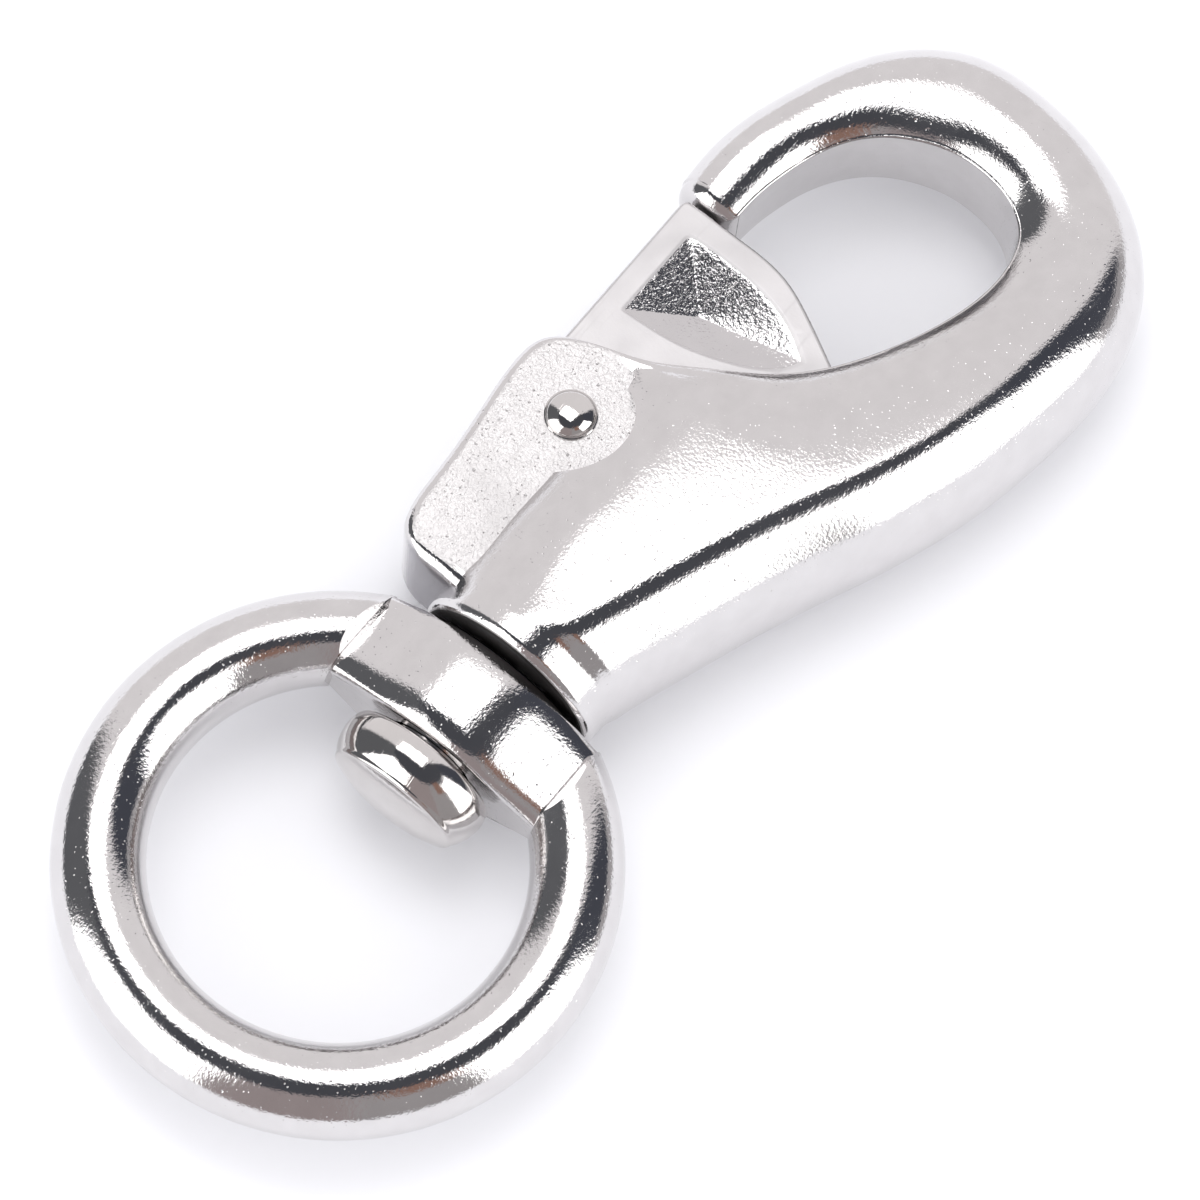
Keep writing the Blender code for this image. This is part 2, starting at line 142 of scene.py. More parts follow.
def splineRows(rows, steps, lead=4):
    # natural cubic spline through rows of numbers, spaced by the first lead numbers
    table = np.array(rows, dtype=float)
    gaps = np.linalg.norm(np.diff(table[:, :lead], axis=0), axis=1)
    count = len(table)
    matrix = np.eye(count)
    right = np.zeros((count, table.shape[1]))
    for i in range(1, count - 1):
        matrix[i, i - 1:i + 2] = gaps[i - 1], 2 * (gaps[i - 1] + gaps[i]), gaps[i]
        right[i] = 6 * ((table[i + 1] - table[i]) / gaps[i] - (table[i] - table[i - 1]) / gaps[i - 1])
    bend = np.linalg.solve(matrix, right)
    result = []
    for i in range(count - 1):
        g = gaps[i]
        for step in range(steps):
            t = g * step / steps
            u = g - t
            here = table[i] / g - bend[i] * g / 6
            there = table[i + 1] / g - bend[i + 1] * g / 6
            result.append((bend[i] * u ** 3 + bend[i + 1] * t ** 3) / (6 * g) + here * u + there * t)
    result.append(table[-1])
    return [tuple(float(v) for v in row) for row in result]


def applyModifiers(piece):
    evaluated = piece.evaluated_get(bpy.context.evaluated_depsgraph_get())
    mesh = bpy.data.meshes.new_from_object(evaluated)
    old = piece.data
    piece.modifiers.clear()
    piece.data = mesh
    bpy.data.meshes.remove(old)


def combine(piece, solid, operation="DIFFERENCE"):
    # one boolean with a solid given as (vertices, faces), applied at once
    tool = newPiece(piece.name + "Tool", *solid)
    modifier = piece.modifiers.new("combine", "BOOLEAN")
    modifier.operation = operation
    modifier.solver = "EXACT"
    modifier.object = tool
    applyModifiers(piece)
    bpy.data.objects.remove(tool, do_unlink=True)


def finishPiece(piece, material, smoothAngle=30):
    # smooth shading that keeps flat faces flat and hard edges hard
    mesh = piece.data
    mesh.materials.clear()
    mesh.materials.append(material)
    mesh.shade_smooth()
    mesh.set_sharp_from_angle(angle=math.radians(smoothAngle))
    modifier = piece.modifiers.new("flats", "WEIGHTED_NORMAL")
    modifier.keep_sharp = True
    modifier.weight = 80
    applyModifiers(piece)


def handOver(piece, cadNode, body):
    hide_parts(cadNode)
    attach(piece, body)
    print(piece.name, "made,", len(piece.data.polygons), "faces")


# shader helpers
def link(tree, source, socket):
    tree.links.new(source, socket)


def node(tree, kind, inputs=None, **settings):
    # a shader or geometry node with its settings, and values or sources for its inputs
    made = tree.nodes.new(kind)
    for name, value in settings.items():
        setattr(made, name, value)
    for name, value in (inputs or {}).items():
        if isinstance(value, bpy.types.NodeSocket):
            tree.links.new(value, made.inputs[name])
        else:
            made.inputs[name].default_value = value
    return made


def calc(tree, operation, first, second=0.0):
    return node(tree, "ShaderNodeMath", {0: first, 1: second}, operation=operation).outputs[0]


def ramp(tree, value, low, high, toLow=0.0, toHigh=1.0):
    # smooth change from toLow to toHigh as the value goes from low to high
    inputs = {"Value": value, "From Min": low, "From Max": high, "To Min": toLow, "To Max": toHigh}
    return node(tree, "ShaderNodeMapRange", inputs, interpolation_type="SMOOTHSTEP").outputs["Result"]


def inside(tree, value, low, high, soft):
    # 1 between two limits and 0 outside them, with soft edges
    over = ramp(tree, value, low - soft, low + soft)
    return calc(tree, "MULTIPLY", over, ramp(tree, value, high + soft, high - soft))


def blendColour(tree, mask, first, second):
    mix = tree.nodes.new("ShaderNodeMix")
    mix.data_type = "RGBA"
    for name, value in (("Factor", mask), ("A", first), ("B", second)):
        socket = next(s for s in mix.inputs if s.name == name and (name == "Factor" or s.type == "RGBA"))
        if isinstance(value, bpy.types.NodeSocket):
            tree.links.new(value, socket)
        else:
            socket.default_value = value
    return next(s for s in mix.outputs if s.type == "RGBA")


number, integer, vector = "NodeSocketFloat", "NodeSocketInt", "NodeSocketVector"


def openTree(name, kind, inputs, outputs):
    # a node group with named sockets: the tree, what it is given and what it puts out
    tree = bpy.data.node_groups.new(name, kind)
    for label, socketKind, value in inputs:
        socket = tree.interface.new_socket(label, in_out="INPUT", socket_type=socketKind)
        if value is not None:
            socket.default_value = value
    for label, socketKind in outputs:
        tree.interface.new_socket(label, in_out="OUTPUT", socket_type=socketKind)
    return tree, tree.nodes.new("NodeGroupInput").outputs, tree.nodes.new("NodeGroupOutput").inputs


def shaderGroup(name, inputs, outputs):
    return openTree(name, "ShaderNodeTree", inputs, [(label, number) for label in outputs])


def noise(tree, position, scale, detail, roughness=0.5):
    inputs = {"Vector": position, "Scale": scale, "Detail": detail, "Roughness": roughness}
    return node(tree, "ShaderNodeTexNoise", inputs).outputs["Fac"]


def axisOf(tree, source, index):
    return node(tree, "ShaderNodeSeparateXYZ", {0: source}).outputs[index]


def makeTumbledGrain():
    # the pebbled skin that tumbling leaves on a casting: coarse grain, fine grain and rare pits
    inputs = (("Position", vector, None), ("Grain Size mm", number, 0.25), ("Pits", number, 0.3))
    tree, given, result = shaderGroup("tumbledGrain", inputs, ("Height", "Mottle"))
    scale = calc(tree, "DIVIDE", 1000.0, given["Grain Size mm"])
    coarse = noise(tree, given["Position"], calc(tree, "MULTIPLY", scale, 0.6), 2.5, 0.6)
    cells = node(tree, "ShaderNodeTexVoronoi", {
        "Vector": given["Position"], "Scale": calc(tree, "MULTIPLY", scale, 0.35), "Randomness": 1.0,
    }, feature="SMOOTH_F1").outputs["Distance"]
    pits = ramp(tree, cells, 0.0, 0.17)
    height = calc(tree, "ADD", coarse, calc(tree, "MULTIPLY", pits, given["Pits"]))
    link(tree, height, result["Height"])
    link(tree, noise(tree, given["Position"], calc(tree, "MULTIPLY", scale, 0.09), 4.0), result["Mottle"])
    return tree


def makeHandlingMarks():
    # hairline scratches in two directions and soft smudges
    inputs = (("Position", vector, None), ("Spacing mm", number, 1.4), ("Amount", number, 0.5))
    tree, given, result = shaderGroup("handlingMarks", inputs, ("Scratch", "Smudge"))
    scale = calc(tree, "DIVIDE", 160.0, given["Spacing mm"])
    lines = []
    for turn, stretch in ((0.5, 26.0), (-0.9, 34.0)):
        turned = node(tree, "ShaderNodeMapping", {"Vector": given["Position"]})
        turned.inputs["Rotation"].default_value = (0.3, 0.2, turn)
        turned.inputs["Scale"].default_value = (1.0, stretch, 6.0)
        lines.append(ramp(tree, noise(tree, turned.outputs[0], scale, 1.0), 0.67, 0.74))
    link(tree, calc(tree, "MULTIPLY", calc(tree, "MAXIMUM", *lines), given["Amount"]), result["Scratch"])
    smudge = noise(tree, given["Position"], 130.0, 3.0)
    link(tree, ramp(tree, smudge, 0.35, 0.7), result["Smudge"])
    return tree


def makeFlatMask():
    # 1 on faces that lie flat at a height either side of the middle plane, 0 elsewhere
    inputs = (
        ("Position", vector, None), ("Height mm", number, 4.4), ("Depth mm", number, 0.25),
        ("End x mm", number, 40.0), ("Flatness", number, 0.985),
    )
    tree, given, result = shaderGroup("flatMask", inputs, ("Mask",))
    height = calc(tree, "ABSOLUTE", calc(tree, "MULTIPLY", axisOf(tree, given["Position"], 2), 1000.0))
    off = calc(tree, "ABSOLUTE", calc(tree, "SUBTRACT", height, given["Height mm"]))
    near = calc(tree, "LESS_THAN", off, given["Depth mm"])
    along = calc(tree, "MULTIPLY", axisOf(tree, given["Position"], 0), 1000.0)
    before = calc(tree, "LESS_THAN", along, given["End x mm"])
    normal = node(tree, "ShaderNodeNewGeometry").outputs["True Normal"]
    lie = calc(tree, "ABSOLUTE", axisOf(tree, normal, 2))
    flat = calc(tree, "GREATER_THAN", lie, given["Flatness"])
    link(tree, calc(tree, "MULTIPLY", calc(tree, "MULTIPLY", near, before), flat), result["Mask"])
    return tree


tumbledGrain = makeTumbledGrain()
handlingMarks = makeHandlingMarks()
flatMask = makeFlatMask()

# "patch" is a flat stretch with its own finish: height, depth either side of it, where it ends
# along x and how flat it must lie, then roughness added and the size of its grain's bumps.
# The last entry of a finish lists faces across the axis given painted shade, a dark colour for the shade in
# the gap between hub and base and on the cheek's end wall, with more roughness: from x, to x, colour,
# roughness added.
finishes = {
    "castSteel": {
        "dark": (0.60, 0.585, 0.585), "light": (0.69, 0.675, 0.675), "rough": (0.05, 0.12),
        "grain": 0.15, "pits": 0.9, "bump": 0.2, "marks": 0.3,
        "patch": (4.37, 0.1, 40.0, 0.985), "patchRough": 0.34, "patchBump": 0.9,
        # painted shade: near black on the faces either side of the gap between hub and base, mid grey on the
        # cheek's end wall
        "paintedShadeEnds": ((16.7, 17.4, (0.03, 0.028, 0.028), 0.4), (18.5, 20.0, (0.45, 0.44, 0.46), 0.3)),
    },
    "pinSteel": {
        "dark": (0.60, 0.58, 0.57), "light": (0.69, 0.67, 0.66), "rough": (0.04, 0.1),
        "grain": 0.14, "pits": 0.5, "bump": 0.07, "marks": 0.4, "patch": None, "paintedShadeEnds": (),
    },
    "gateSteel": {
        "dark": (0.58, 0.565, 0.57), "light": (0.64, 0.625, 0.63), "rough": (0.46, 0.54),
        "grain": 0.18, "pits": 0.3, "bump": 0.09, "marks": 0.3,
        "patch": (1.28, 1.16, 60.0, 0.6), "patchRough": -0.38, "patchBump": 0.62, "paintedShadeEnds": (),
    },
    "springSteel": {
        "dark": (0.44, 0.43, 0.42), "light": (0.56, 0.55, 0.54), "rough": (0.18, 0.3),
        "grain": 0.12, "pits": 0.1, "bump": 0.1, "marks": 0.8, "patch": None, "paintedShadeEnds": (),
    },
}


bumpHeight = 0.08  # mm that a bump of 1 stands for
scratchRough, scratchDepth = 0.15, 0.06


def makeSteel(name):
    finish = finishes[name]
    material = bpy.data.materials.new(name)
    material.use_nodes = True
    tree = material.node_tree
    shader = tree.nodes["Principled BSDF"]
    shader.inputs["Metallic"].default_value = 1.0
    coords = tree.nodes.new("ShaderNodeTexCoord").outputs["Object"]
    shift = {0: coords, 1: tuple(-ringCentre)}
    middle = node(tree, "ShaderNodeVectorMath", shift, operation="ADD").outputs[0]
    grain = node(tree, "ShaderNodeGroup", node_tree=tumbledGrain)
    marks = node(tree, "ShaderNodeGroup", node_tree=handlingMarks)
    for group in (grain, marks):
        link(tree, middle, group.inputs["Position"])
    grain.inputs["Grain Size mm"].default_value = finish["grain"]
    grain.inputs["Pits"].default_value = finish["pits"]
    marks.inputs["Amount"].default_value = finish["marks"]
    colour = blendColour(tree, grain.outputs["Mottle"], (*finish["dark"], 1.0), (*finish["light"], 1.0))
    smooth = ramp(tree, marks.outputs["Smudge"], 0.0, 1.0, *finish["rough"])
    rough = calc(tree, "ADD", smooth, calc(tree, "MULTIPLY", marks.outputs["Scratch"], scratchRough))
    height = calc(tree, "MULTIPLY", grain.outputs["Height"], finish["bump"])
    if finish["patch"]:
        mask = node(tree, "ShaderNodeGroup", node_tree=flatMask)
        link(tree, middle, mask.inputs["Position"])
        for label, value in zip(("Height mm", "Depth mm", "End x mm", "Flatness"), finish["patch"]):
            mask.inputs[label].default_value = value
        on = mask.outputs["Mask"]
        rough = calc(tree, "ADD", rough, calc(tree, "MULTIPLY", on, finish["patchRough"]))
        more = calc(tree, "MULTIPLY", on, finish["patchBump"] / finish["bump"] - 1.0)
        height = calc(tree, "MULTIPLY", height, calc(tree, "ADD", 1.0, more))
    height = calc(tree, "SUBTRACT", height, calc(tree, "MULTIPLY", marks.outputs["Scratch"], scratchDepth))
    bump = node(tree, "ShaderNodeBump", {"Height": height, "Strength": 1.0, "Distance": bumpHeight * mm})
    along = calc(tree, "MULTIPLY", axisOf(tree, middle, 0), 1000.0)
    normal = node(tree, "ShaderNodeNewGeometry").outputs["True Normal"]
    facing = calc(tree, "ABSOLUTE", axisOf(tree, normal, 0))
    # painted shade: faces across the axis in these stretches take a darker colour, and more roughness
    for low, high, tint, dull in finish["paintedShadeEnds"]:
        on = calc(tree, "MULTIPLY", inside(tree, along, low, high, 0.05), ramp(tree, facing, 0.75, 0.93))
        colour = blendColour(tree, on, colour, (*tint, 1.0))
        rough = calc(tree, "ADD", rough, calc(tree, "MULTIPLY", on, dull))
    link(tree, colour, shader.inputs["Base Color"])
    link(tree, rough, shader.inputs["Roughness"])
    link(tree, bump.outputs[0], shader.inputs["Normal"])
    return material


steels = {name: makeSteel(name) for name in finishes}
print("finishes made:", ", ".join(steels))

# hook body
hookBody = {
    "baseX": 17.05, "baseWidth": 7.5, "baseInner": 6.7, "baseHeight": 7.05, "baseEdge": 0.8,
    "cheekX": 18.9, "cheekEdge": 1.0, "cheekCorner": 1.9, "noseEdge": 1.25,
    "slopePower": 3.8, "neckPower": 2.2, "bowPower": 1.6, "neckBlend": 1.7,
    "slotHalfWidth": 2.8, "slotReach": 19.3, "slotSweep": (-76.5, -18.0), "slotBack": 26.8,
    "slotLedge": 6.5, "slotHub": 4.6, "spotRadius": 4.35, "spotHeight": 4.39, "pinHole": 1.5,
    "shankBore": 3.45, "shankEnd": 24.9, "above": 20.0,
    "arcPoints": 24, "slopePoints": 26, "padPoints": 5, "edgePoints": 6, "wallPoints": 4, "steps": 12,
    # outer x, y, inner x, y, crown height, crown in from the outer edge, foot in from the inner
    # edge, foot height, inner edge radius, share of the bow's round section
    "stations": (
        (18.95, -7.6, 18.95, 10.3, 7.1, 6.7, 4.5, 4.4, 0.9, 0.0),
        (20.8, -8.0, 20.8, 11.25, 7.05, 6.2, 5.8, 4.4, 0.9, 0.0),
        (24.5, -9.2, 24.6, 11.8, 7.0, 5.9, 6.3, 4.4, 0.9, 0.0),
        (29.0, -10.75, 29.2, 12.25, 7.0, 5.8, 6.8, 4.4, 0.9, 0.0),
        (33.8, -12.55, 34.4, 12.85, 7.0, 5.8, 7.4, 4.4, 0.9, 0.0),
        (37.0, -13.9, 37.2, 12.2, 6.98, 5.8, 6.8, 4.4, 0.9, 0.0),
        (39.3, -14.9, 38.6, 9.8, 6.96, 5.8, 4.2, 4.4, 0.7, 0.1),
        (42.2, -16.0, 39.9, 5.9, 6.92, 5.8, 1.0, 4.5, 0.3, 0.5),
        (45.5, -17.1, 41.9, 2.4, 6.85, 5.8, 0.8, 4.75, 0.3, 0.8),
        (49.0, -18.0, 44.8, -1.8, 6.75, 5.8, 0.8, 4.8, 0.3, 1.0),
        (52.5, -18.6, 48.6, -4.9, 6.6, 5.7, 0.8, 4.6, 0.3, 1.0),
        (56.0, -19.0, 53.4, -7.3, 6.35, 5.5, 0.9, 4.3, 0.3, 1.0),
        (59.6, -19.1, 58.2, -8.7, 6.05, 5.2, 1.0, 3.95, 0.3, 1.0),
        (63.5, -18.55, 61.5, -8.8, 5.65, 4.9, 1.0, 3.65, 0.3, 1.0),
        (67.8, -16.6, 63.9, -8.1, 5.2, 4.7, 1.0, 3.5, 0.3, 1.0),
        (71.4, -13.1, 65.3, -6.8, 4.8, 4.5, 1.0, 3.4, 0.3, 1.0),
        (73.8, -8.4, 66.2, -4.9, 4.6, 4.4, 1.0, 3.4, 0.3, 1.0),
        (74.9, -2.8, 66.5, -2.0, 4.6, 4.3, 1.0, 3.4, 0.3, 1.0),
        (74.6, 2.4, 66.0, 0.6, 4.5, 4.3, 1.0, 3.4, 0.3, 1.0),
        (72.4, 6.4, 64.7, 3.2, 4.4, 4.1, 1.0, 3.3, 0.3, 1.0),
        (68.8, 9.4, 62.7, 5.3, 4.2, 3.7, 0.9, 3.2, 0.3, 1.0),
        (64.2, 11.45, 60.2, 6.7, 3.9, 3.2, 0.8, 3.0, 0.3, 1.0),
        (59.8, 12.8, 57.8, 7.45, 3.7, 2.9, 0.8, 2.85, 0.3, 1.0),
        (56.4, 13.2, 55.4, 7.9, 3.4, 2.7, 0.8, 2.75, 0.3, 1.0),
        (52.3, 12.95, 52.3, 8.0, 3.2, 2.5, 0.8, 2.6, 0.3, 1.0),
    ),
}


def mixPoints(first, second, share):
    return tuple(p + (q - p) * share for p, q in zip(first, second))


def bodyProfile(width, power, crown, crownIn, footIn, foot, edge, bow):
    # half a section as (distance from the outer edge, height): a round back, then the slope
    # down to the flat of the cheek, mixed into the bow's round section with its flat inner wall
    b = hookBody
    points = []
    for i in range(b["arcPoints"]):
        angle = math.pi / 2 * i / b["arcPoints"]
        points.append((crownIn * (1 - math.cos(angle)), crown * math.sin(angle)))
    slopeEnd = width - footIn
    rest = b["slopePoints"] + b["padPoints"]
    far = width - edge * 0.6
    wallTop = foot - edge * 0.6
    reach = (far - crownIn) / math.sqrt(max(1 - (foot / crown) ** 2, 1e-3))
    for i in range(rest):
        t = i / b["slopePoints"]
        if t < 1:
            drop = (crown - foot) * t ** power
            cheek = (crownIn + (slopeEnd - crownIn) * t, crown - drop)
        else:
            cheek = (slopeEnd + (footIn - edge) * (i - b["slopePoints"]) / b["padPoints"], foot)
        u = (far - crownIn) * i / rest
        oval = (crownIn + u, crown * math.sqrt(max(1 - (u / reach) ** 2, 0.0)))
        points.append(mixPoints(cheek, oval, bow))
    for i in range(b["edgePoints"] + 1):
        angle = math.pi / 2 * i / b["edgePoints"]
        cheek = (width - edge * (1 - math.sin(angle)), foot - edge * (1 - math.cos(angle)))
        oval = (far + (width - far) * math.sin(angle), foot - (foot - wallTop) * (1 - math.cos(angle)))
        points.append(mixPoints(cheek, oval, bow))
    low = points[-1][1]
    return points + [(width, low * (1 - i / b["wallPoints"])) for i in range(1, b["wallPoints"])]


def endRound(radius, x):
    # how far a round edge of the cheek's end has fallen back at x
    gap = max(radius - (x - hookBody["cheekX"]), 0.0)
    return radius - math.sqrt(radius ** 2 - gap ** 2)


def smoothStep(t):
    t = min(max(t, 0.0), 1.0)
    return t * t * (3 - 2 * t)


def drawnToBase(point, share):
    # a point that reaches past the round base, drawn in to it by a share
    width = hookBody["baseInner"] if point.y > 0 else hookBody["baseWidth"]
    reach = math.hypot(point.y / width, point.z / hookBody["baseHeight"])
    pull = 1 + (1 / max(reach, 1.0) - 1) * share
    return Vector((point.x, point.y * pull, point.z * pull))


def bodySection(row, inset=0.0, shift=0.0, ended=True):
    b = hookBody
    outer = Vector((row[0], row[1], 0.0))
    inner = Vector((row[2], row[3], 0.0))
    width = (inner - outer).length
    across = (inner - outer) / width
    along = Vector((across.y, -across.x, 0.0))
    squeeze, lower = (width - 2 * inset) / width, (row[4] - inset) / row[4]
    # the cheek's end wall has a round top edge and a round corner in plan
    drop, pull = (ended * endRound(b[key], row[0]) for key in ("cheekEdge", "cheekCorner"))
    slopeEnd = width - row[6]
    upper = []
    power = b["neckPower"] + (b["slopePower"] - b["neckPower"]) * smoothStep((row[0] - b["cheekX"]) / 10)
    for d, h in bodyProfile(width, power - b["bowPower"] * row[9], *row[4:]):
        share = min(max(d - slopeEnd, 0.0) / 0.8, 1.0)
        pulled = pull * max(d - slopeEnd, 0.0) / row[6]
        upper.append((inset + d * squeeze - pulled, max(h - share * drop, 0.0) * lower))
    ring = upper + [(width - inset - pull, 0.0)] + [(d, -h) for d, h in reversed(upper[1:])]
    points = []
    for d, h in ring:
        point = outer + across * d + along * shift + Vector((0, 0, h))
        if d <= slopeEnd + 0.01:
            point = drawnToBase(point, 1 - smoothStep((point.x - b["cheekX"]) / b["neckBlend"]))
        points.append(tuple(point))
    return points


def baseRing(x, inward):
    # the first section at x, drawn in to the round base where it reaches past it
    scale = 1 - inward / hookBody["baseWidth"]
    section = bodySection(hookBody["stations"][0], ended=False)
    drawn = [drawnToBase(Vector(point), 1.0) for point in section]
    return [(x, point.y * scale, point.z * scale) for point in drawn]


def slotOutline():
    # space that the gate, its lug and the spring need between the cheeks
    b = hookBody
    hub, above = b["slotHub"], b["above"]
    limits = [math.radians(angle) for angle in b["slotSweep"]]
    points = [(b["slotBack"], above), (b["slotBack"], b["slotLedge"]), (pivot.x - hub, b["slotLedge"])]
    points += arc(pivot, hub, 8, math.radians(-166), math.radians(-152.9), whole=False)
    points += arc(pivot, b["slotReach"], 64, *limits, whole=False)
    points.append((pivot.x + b["slotReach"] * math.cos(limits[1]), above))
    return points


def makeHookBody():
    b = hookBody
    rings = [baseRing(b["baseX"] + back, inward) for back, inward in rounding(b["baseEdge"], 10)]
    rings += [baseRing(x, 0.0) for x in (18.3, 18.6, b["cheekX"] - 0.05)]
    last = b["stations"][-1]
    rows = splineRows(b["stations"], b["steps"])
    rings += [bodySection(row) for row in rows if math.dist(row[:2], last[:2]) > b["noseEdge"] + 0.1]
    for back, inward in reversed(rounding(b["noseEdge"], 8)):
        rings.append(bodySection(last, inward, -back))
    body = newPiece("hookBodyCast", *loft(rings))
    half = b["slotHalfWidth"]
    combine(body, prism(slotOutline(), -half, half))
    combine(body, prism(arc(pivot, b["pinHole"], 48), -b["above"], b["above"]))
    for side in (1, -1):
        low, high = sorted((side * b["spotHeight"], side * b["above"]))
        combine(body, prism(arc(pivot, b["spotRadius"], 120), low, high))
    combine(body, bar(b["shankBore"], 10.0, b["shankEnd"]))
    finishPiece(body, steels["castSteel"])
    handOver(body, "hook_body", "hook")


# swivel eye
def geometryTree(name, inputs):
    return openTree(name, "GeometryNodeTree", inputs, [("Geometry", "NodeSocketGeometry")])


def sweep(tree, route, sides, radius, centre, caps):
    # a round section drawn along a route and moved to its place
    section = node(tree, "GeometryNodeCurvePrimitiveCircle", {"Resolution": sides, "Radius": radius})
    inputs = {"Curve": route, "Profile Curve": section.outputs["Curve"], "Fill Caps": caps}
    swept = node(tree, "GeometryNodeCurveToMesh", inputs).outputs[0]
    return node(tree, "GeometryNodeTransform", {"Geometry": swept, "Translation": centre}).outputs[0]


def closeTree(tree, geometry, material, result):
    smooth = node(tree, "GeometryNodeSetShadeSmooth", {"Geometry": geometry}).outputs[0]
    realised = node(tree, "GeometryNodeRealizeInstances", {"Geometry": smooth}).outputs[0]
    setMaterial = node(tree, "GeometryNodeSetMaterial", {"Geometry": realised, "Material": material})
    link(tree, setMaterial.outputs[0], result["Geometry"])


def runTree(name, tree, values):
    # evaluates a tree with its named inputs set, and keeps the result as a plain mesh
    piece = bpy.data.objects.new(name, bpy.data.meshes.new(name))
    bpy.context.scene.collection.objects.link(piece)
    modifier = piece.modifiers.new("make", "NODES")
    modifier.node_group = tree
    sockets = {s.name: s.identifier for s in tree.interface.items_tree if s.in_out == "INPUT"}
    for label, value in values.items():
        modifier[sockets[label]] = value
    applyModifiers(piece)
    return piece


def wireTree():
    # a wire of given radius swept round a ring
    inputs = (
        ("Ring Radius", number, 0.0159), ("Wire Radius", number, 0.0032), ("Ring Steps", integer, 288),
        ("Wire Steps", integer, 72), ("Centre", vector, None),
    )
    tree, given, result = geometryTree("sweptRing", inputs)
    route = node(tree, "GeometryNodeCurvePrimitiveCircle", {
        "Resolution": given["Ring Steps"], "Radius": given["Ring Radius"],
    }).outputs["Curve"]
    wire = sweep(tree, route, given["Wire Steps"], given["Wire Radius"], given["Centre"], False)
    closeTree(tree, wire, steels["castSteel"], result)
    return tree


def hubSolid():
    # thick hub: a round crown with straight flanks, crowned along the axis as well
    e = eye
    half = 40
    lean = math.radians(e["flankSlope"])
    flankFrom = e["crownRadius"] * math.sin(lean)
    long = e["hubFront"] - e["hubBack"]

    def height(x, y):
        near = min(abs(y), flankFrom)
        fall = e["crownRadius"] - math.sqrt(e["crownRadius"] ** 2 - near ** 2)
        fall += (abs(y) - near) * math.tan(lean)
        along = 2 * (x - e["hubBack"]) / long - 1
        power = e["shoulderPower"] * (1 + (y / e["hubReach"]) ** 2)
        return e["crown"] - fall - e["shoulders"][int(along > 0)] * abs(along) ** power

    def hubRing(x, inward):
        # towards the wire the corners draw back so that they stay inside its round section
        share = (x - e["hubBack"]) / long
        pull = e["backPull"] * (1 - share) - e["frontPull"] * share
        ys = [e["hubReach"] * i / half for i in range(-half, half + 1)]
        ring = []
        for y, side in [(y, 1) for y in ys] + [(y, -1) for y in reversed(ys)]:
            z = height(x, y) - inward
            ring.append((x + pull * abs(y / e["hubReach"]) ** 6 * (z / e["pullHeight"]) ** 2, y, side * z))
        return ring

    edge = rounding(e["hubEdge"], 6)
    span = e["hubFront"] - e["hubBack"] - 2 * e["hubEdge"]
    rings = [hubRing(e["hubBack"] + back, inward) for back, inward in edge]
    rings += [hubRing(e["hubBack"] + e["hubEdge"] + span * i / 28, 0.0) for i in range(1, 28)]
    rings += [hubRing(e["hubFront"] - back, inward) for back, inward in reversed(edge)]
    return loft(rings)


def wireGap():
    # where the wire is cut off for the hub, with slanted facets at its top and underside
    e = eye
    low, run, rise = e["facetLow"], e["facetRun"], e["facetRise"]
    grow = 3.0
    half = [(e["wireEnd"], low), (e["wireEnd"] + run * grow, low + rise * grow)]
    quarter = half + [(-y, z) for y, z in reversed(half)]
    outline = quarter + [(y, -z) for y, z in reversed(quarter)]
    return loft([[(x, y, z) for y, z in outline] for x in (e["cutFrom"], e["cutTo"])])


def makeSwivelEye():
    e = eye
    wire = runTree("swivelEyeCast", wireTree(), {
        "Ring Radius": e["ringRadius"] * mm, "Wire Radius": e["wireRadius"] * mm,
        "Ring Steps": e["ringSteps"], "Wire Steps": e["wireSteps"], "Centre": tuple(ringCentre),
    })
    combine(wire, wireGap())
    combine(wire, hubSolid(), "UNION")
    combine(wire, bar(e["bore"], e["cutFrom"], e["cutTo"]))
    finishPiece(wire, steels["castSteel"])
    handOver(wire, "swivel_eye", "eye")


# swivel pin
swivelPin = {
    "shankRadius": 3.3, "shankEnd": 24.6, "back": 4.75, "front": 9.1, "halfWidth": 5.7, "halfHeight": 4.5,
    "power": 2.02, "crest": 7.9, "roll": 3.3, "dome": 0.8, "crease": 0.3, "frontRoll": 1.2, "frontFall": 0.5,
    "count": 144,
}


def oval(halfWidth, halfHeight, power, count):
    points = []
    for i in range(count):
        angle = 2 * math.pi * i / count
        c, s = math.cos(angle), math.sin(angle)
        points.append((
            math.copysign(halfWidth * abs(c) ** (2 / power), c),
            math.copysign(halfHeight * abs(s) ** (2 / power), s),
        ))
    return points


